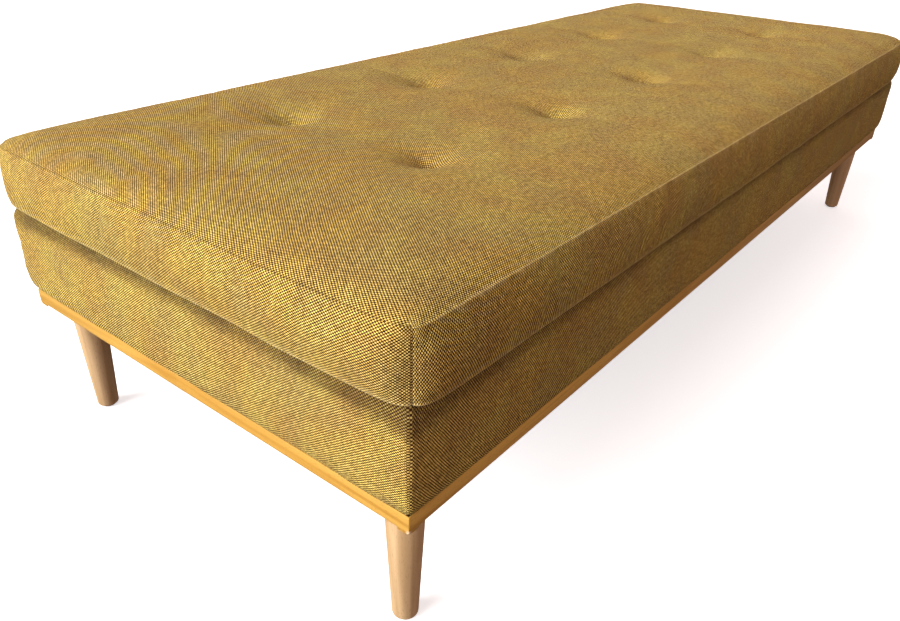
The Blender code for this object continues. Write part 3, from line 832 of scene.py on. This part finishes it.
box_points = points_of(cover)
half = np.array(cover_high)
from_end = half[0] - np.abs(box_points[:, 0])
from_side = half[1] - np.abs(box_points[:, 1])
up = (box_points[:, 2] - cover_low.z) / (cover_high.z - cover_low.z)
on_top = up > 0.9999
on_base = up < 0.0001
on_end = from_end < 1e-5
on_side = from_side < 1e-5
on_seam = (on_end.astype(int) + on_side + on_top + on_base) > 1
blunt = CORNER_BLUNTING
nearest = -blunt * np.log(np.exp(-from_end / blunt) + np.exp(-from_side / blunt))
nearest += blunt * math.log(2) * np.exp(-np.abs(from_end - from_side) / blunt)
nearest = np.clip(nearest, 0.0, None)
inward = np.clip(nearest / 0.20, 0.0, 1.0)
crown_rise = crown_top - cover_high.z - EDGE_ROLL
rise = EDGE_ROLL * (1 - np.exp(-nearest / 0.010)) + crown_rise * (1 - (1 - inward) ** 2)
side_run = np.where(on_side, from_end, from_side)
bow = (np.sin(np.clip(up, 0, 1) * math.pi) * 0.0045 + 0.0055 * np.clip(1 - up, 0, 1) ** 3) * (
    1 - 0.6 * np.exp(-side_run / 0.03)
)
from_corner = np.hypot(from_end, from_side)
hang = FRONT_HANG * np.exp(-from_side / 0.006) * (1 - np.exp(-from_end / 0.05))
hang += END_HANG * np.exp(-from_end / 0.006) * (1 - np.exp(-from_side / 0.05))
at_edge = np.exp(-np.minimum(from_end, from_side) / 0.006)
hang += swells(box_points * [1, 1, 0], 0.075, 31.0) * 0.0024 * at_edge
quarters = {
    (end, side): (np.sign(box_points[:, 0]) == end) & (np.sign(box_points[:, 1]) == side)
    for end, side in CORNER_PULL
}
for quarter, here in quarters.items():
    hang[here] -= CORNER_LIFT[quarter] * np.exp(-from_corner[here] / 0.040)
rested = box_points.copy()
rested[:, 2] += np.where(on_top, rise, 0.0) - hang * np.clip(1 - up, 0.0, 1.0) ** 1.5
rested[:, 2] -= np.where(up > 0.5, 0.0015 * np.exp(-from_corner / 0.03), 0.0)
rested[:, 0] += np.where(on_end & ~on_side, np.sign(box_points[:, 0]) * bow, 0.0)
rested[:, 1] += np.where(on_side & ~on_end, np.sign(box_points[:, 1]) * bow, 0.0)
into_round = np.clip(CORNER_RADIUS - np.stack([from_end, from_side], axis=1), 0.0, None)
squeeze = into_round.max(axis=1) / np.maximum(np.hypot(*into_round.T), 1e-9)
drawn = into_round * (1 - squeeze[:, None])
for quarter, here in quarters.items():
    drawn[here] += np.array(CORNER_PULL[quarter]) * np.exp(-from_corner[here] / 0.045)[:, None]
rested[:, :2] -= np.sign(box_points[:, :2]) * drawn
move_points(cover, rested)

tuft_reach = np.min([np.hypot(box_points[:, 0] - x, box_points[:, 1] - y) for x, y in tufts], axis=0)
pinched = on_top & (tuft_reach < 0.0075)
drawn_down = rested.copy()
drawn_down[pinched, 2] = crown_top - TUFT_DEPTH


def inflate(piece, start, pulled, held, pressure, slack, cap):
    """Lets the cloth swell from its start while its held points move to where they are pulled.

    Returns the settled points, none of them more than the cap from the start or the pull.
    """
    scene = bpy.context.scene
    piece.shape_key_add(name="Basis")
    tug_key = piece.shape_key_add(name="pulled")
    tug_key.data.foreach_set("co", np.ascontiguousarray(pulled, dtype=np.float32).ravel())
    for frame_number, share in ((1, 0.0), (12, 1.0)):
        tug_key.value = share
        tug_key.keyframe_insert("value", frame=frame_number)
    group = piece.vertex_groups.new(name="held")
    group.add([int(i) for i in np.nonzero(held)[0]], 1.0, "REPLACE")
    swelling = piece.modifiers.new("swelling", "CLOTH")
    settings = swelling.settings
    settings.quality = 6
    settings.mass = 0.15
    settings.air_damping = 4.0
    settings.tension_stiffness = 25.0
    settings.compression_stiffness = 25.0
    settings.shear_stiffness = 8.0
    settings.bending_stiffness = 0.8
    settings.shrink_min = -slack
    settings.vertex_group_mass = group.name
    settings.use_pressure = True
    settings.uniform_pressure_force = pressure
    settings.effector_weights.gravity = 0.0
    swelling.collision_settings.use_collision = False
    swelling.point_cache.frame_start = 1
    swelling.point_cache.frame_end = 20
    for frame_number in range(1, 21):
        scene.frame_set(frame_number)
    settled = np.empty(len(start) * 3, dtype=np.float32)
    posed = piece.evaluated_get(bpy.context.evaluated_depsgraph_get())
    posed.data.vertices.foreach_get("co", settled)
    settled = settled.reshape(-1, 3).astype(float)
    piece.modifiers.remove(swelling)
    piece.shape_key_clear()
    piece.animation_data_clear()
    piece.vertex_groups.clear()
    scene.frame_set(1)
    moved = settled - start
    length = np.linalg.norm(moved, axis=1, keepdims=True)
    return start + moved * np.minimum(1.0, cap / np.maximum(length, 1e-9))


settled = inflate(cover, rested, drawn_down, on_seam | on_base | pinched, 150.0, 0.02, 0.030)
risen = settled[:, 2] - rested[:, 2]
sunk = -TUFT_DEPTH * np.clip(-risen / TUFT_DEPTH, 0.0, 1.0) ** 1.25
shaped = np.where(risen > 0, 0.005 * np.tanh(risen / 0.012), sunk)
settled[:, 2] = rested[:, 2] + np.where(on_top, shaped, risen)
move_points(cover, settled)

# Its seams: the edges are rounded over, each with its stitched line drawn in
seam_room = SEAM_STEPS * len(cover.data.edges)
seams = {line: KDTree(seam_room) for line in SEAM_SHARES}
roundness = cover.data.attributes.new("bevel_weight_edge", "FLOAT", "EDGE")
for edge in cover.data.edges:
    ends = list(edge.vertices)
    if on_seam[ends].all():
        line = "top" if on_top[ends].all() else "base" if on_base[ends].all() else "corner"
        roundness.data[edge.index].value = SEAM_SHARES[line]
        first, last = (cover.data.vertices[at].co for at in ends)
        for step in range(SEAM_STEPS):
            seams[line].insert(first.lerp(last, step / SEAM_STEPS), 0)
for tree in seams.values():
    tree.balance()
rolled = cover.modifiers.new("rolled_edges", "BEVEL")
rolled.limit_method = "WEIGHT"
rolled.width = SEAM_ROUNDING
rolled.segments = 6
bpy.ops.object.select_all(action="DESELECT")
cover.select_set(True)
bpy.context.view_layer.objects.active = cover
bpy.ops.object.modifier_apply(modifier=rolled.name)
cover.data.attributes.remove(cover.data.attributes["bevel_weight_edge"])
bpy.ops.object.mode_set(mode="EDIT")
pick(
    "FACE",
    lambda middle, way: way.y > 0.9
    and abs(middle.x) < zip_half
    and zip_low < middle.z < zip_high
    and middle.y > half[1] - 0.001,
)
bpy.ops.mesh.inset(thickness=0.0005)
bpy.ops.mesh.extrude_region_move(TRANSFORM_OT_translate={"value": (0.0, -0.0055, 0.0)})
bpy.ops.object.mode_set(mode="OBJECT")

points = points_of(cover)
normals = np.array([vert.normal for vert in cover.data.vertices])


def across_seam(line):
    """For each point, millimetres across a seam from its stitched line, and a fade to 0 away from it."""
    offset = np.array([Vector(point) - seams[line].find(point)[0] for point in points])
    level = np.hypot(offset[:, 0], offset[:, 1])
    upright = np.abs(offset[:, 2]) if line != "corner" else np.zeros(len(points))
    near = np.clip(1.6 - np.maximum(level, upright) / SEAM_ROUNDING, 0.0, 1.0)
    return (level - upright) * 1000, near


def seam_bead(across, at, width):
    return np.exp(-(((across - at) / width) ** 2))


outwards = np.zeros(len(points))
across_top, near_top = across_seam("top")
long_side = np.abs(normals[:, 1]) > np.abs(normals[:, 0])
outwards += near_top * np.where(
    long_side,
    0.0008 * seam_bead(across_top, -0.6, 1.0) - 0.0018 * seam_bead(across_top, 2.6, 1.3),
    0.0004 * seam_bead(across_top, 2.8, 1.5) - 0.0017 * seam_bead(across_top, 0.0, 1.1),
)
across_base, near_base = across_seam("base")
outwards += near_base * (
    0.0013 * seam_bead(across_base, 0.0, 1.4) - 0.0011 * seam_bead(across_base, -4.0, 1.3)
)
across_corner, near_corner = across_seam("corner")
outwards += near_corner * (1 - near_top * 0.5) * (
    0.0008 * seam_bead(across_corner, 2.6, 1.4) - 0.0016 * seam_bead(across_corner, 0.0, 1.2)
)
plump = (points[:, 2] > cover_low.z + 0.006).astype(float)
outwards += plump * (swells(points, 0.060, 41.0) * 0.0007 + swells(points, 0.024, 43.0) * 0.00025)
zip_zone = (points[:, 1] > half[1] - 0.006) & (np.abs(points[:, 0]) < zip_half + 0.002)
outwards[zip_zone & (points[:, 2] < zip_high + 0.003)] = 0.0
move_points(cover, points + normals * outwards[:, None])
# Painted light on the cover: the seam ridges are marked pale, partly worn and partly a painted highlight,
# fading towards the ends on the long top seams. Painted shade darkens the end seams' grooves, a line beside
# the long top seams, the corner and lower seam grooves, and the tuft dimples.
fade_near_ends = 1 - 0.8 * np.exp(-np.clip(half[0] - np.abs(points[:, 0]), 0, None) / 0.04)
uneven_along_seam = 0.75 + 0.35 * swells(points * [1, 1, 0], 0.02, 51.0)
to_tuft = np.min([np.hypot(*(points[:, :2] - spot).T) for spot in tufts], axis=0)
mark_wear_and_painted_light(
    cover,
    rubbed=near_top * seam_bead(across_top, -0.4, 0.9) * np.where(long_side, 0.45, 0.0) * uneven_along_seam * fade_near_ends
    + near_base * seam_bead(across_base, -0.4, 1.2) * 0.65 * uneven_along_seam,
    creased=near_top * seam_bead(across_top, 0.0, 0.75) * np.where(long_side, 0.0, 0.75) * uneven_along_seam
    + near_top * seam_bead(across_top, 3.0, 1.0) * np.where(long_side, 0.25, 0.0)
    + near_corner * seam_bead(across_corner, 0.0, 0.8) * 0.5
    + near_base * seam_bead(across_base, -4.0, 1.2) * 0.3
    + (normals[:, 2] > 0.3) * np.exp(-((to_tuft / 0.006) ** 2)) * 0.9,
)
smoothing = cover.modifiers.new("smoothing", "SUBSURF")
smoothing.levels = smoothing.render_levels = 1
bpy.ops.object.select_all(action="DESELECT")
cover.select_set(True)
bpy.context.view_layer.objects.active = cover
bpy.ops.object.modifier_apply(modifier=smoothing.name)
bpy.ops.object.mode_set(mode="EDIT")
done(
    cover,
    weave,
    "mattress",
    "mustard_cloth",
    "mattress_top",
    "mattress_underside",
    "mattress_foam",
    *(f"boxing_{side}" for side in ("front", "back", "left", "right")),
    smooth=80,
)

# Ties: waxed twine from each tuft down through the core to a washer let into its underside.
twine, start = material("waxed_twine", Roughness=0.7, Sheen_Weight=0.2)
lay = start.node(
    "ShaderNodeTexWave",
    {"bands_direction": "DIAGONAL"},
    {"Vector": place(start), "Scale": 260.0, "Distortion": 2.0},
    1,
)
strands = noise_at(place(start, (1.0, 1.0, 0.3)), 1400.0, 2.0)
finish_with(
    start,
    lay,
    0.0004,
    Base_Color=(lay * 0.6 + strands * 0.4).blend((0.26, 0.19, 0.10), (0.62, 0.50, 0.31)),
)
for number in range(1, 11):
    cover_node(f"tie_{number}", twine)

# Zip: a nylon coil zip let into the back boxing, dyed to the cloth, with a small zinc slider that
# carries a pull tab. The slider runs the zip's whole length.
COIL_PITCH = 0.0014
nylon, start = material("zip_nylon")
middle_z = (zip_low + zip_high) / 2
own = start.node("ShaderNodeSeparateXYZ", {}, {0: place(start)}, 0)
upright = start.node("ShaderNodeSeparateXYZ", {}, {0: place(start)}, 2)
phase = own * (2 * math.pi / COIL_PITCH)
coil = phase.math("SINE", phase) * 0.5 + 0.5
off_middle = (upright - middle_z).math("ABSOLUTE", upright - middle_z)
teeth = 1 - off_middle.between(0.0016, 0.0020)
ribs = noise_at(place(start, (1.0, 1.0, 0.1)), 900.0, 1.0)
finish_with(
    start,
    coil * teeth + teeth * 0.6 + ribs * (1 - teeth) * 0.2,
    0.0006,
    Base_Color=(coil * teeth * 0.7 + ribs * 0.3).blend((0.22, 0.125, 0.02), (0.46, 0.29, 0.06)),
    Roughness=0.65 - teeth * 0.3,
)
cover_node("zip_tape", nylon)
slider_low, slider_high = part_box("zip_slider")
slider_middle = (slider_low + slider_high) / 2
slider_size = slider_high - slider_low
slider = primitive(
    "zip_slider_body",
    bpy.ops.mesh.primitive_cube_add,
    size=1.0,
    location=slider_middle,
    scale=slider_size,
)
pick("FACE", lambda middle, way: way.y > 0.9)
bpy.ops.mesh.inset(thickness=0.0014)
bpy.ops.mesh.extrude_region_move(TRANSFORM_OT_translate={"value": (0.0, -0.0009, 0.0)})
pick("FACE", lambda middle, way: way.x > 0.9)
bpy.ops.transform.resize(value=(1.0, 1.0, 0.62), center_override=slider_middle)
pick("EDGE", lambda middle, way: middle.y > slider_high.y - 0.0001)
bpy.ops.mesh.bevel(offset=0.0004, segments=2)
done(slider, zinc_steel, "zip_slider", "zinc_steel", "zip_slider")
pull_middle = slider_middle + Vector((0.0, slider_size.y / 2 + 0.0002, 0.0))
pull = primitive(
    "zip_pull_tab",
    bpy.ops.mesh.primitive_cube_add,
    size=1.0,
    location=pull_middle + Vector((0.0075, 0.0, 0.0)),
    scale=(0.019, 0.0011, 0.0044),
)
pick("EDGE", lambda middle, way: abs(way.y) > 0.9)
bpy.ops.mesh.bevel(offset=0.0017, segments=4)
pick("FACE", lambda middle, way: abs(way.y) > 0.9)
bpy.ops.mesh.inset(thickness=0.0009)
bpy.ops.transform.resize(value=(1.0, 0.55, 1.0), center_override=pull_middle)
done(pull, zinc_steel, "zip_slider", "zinc_steel")
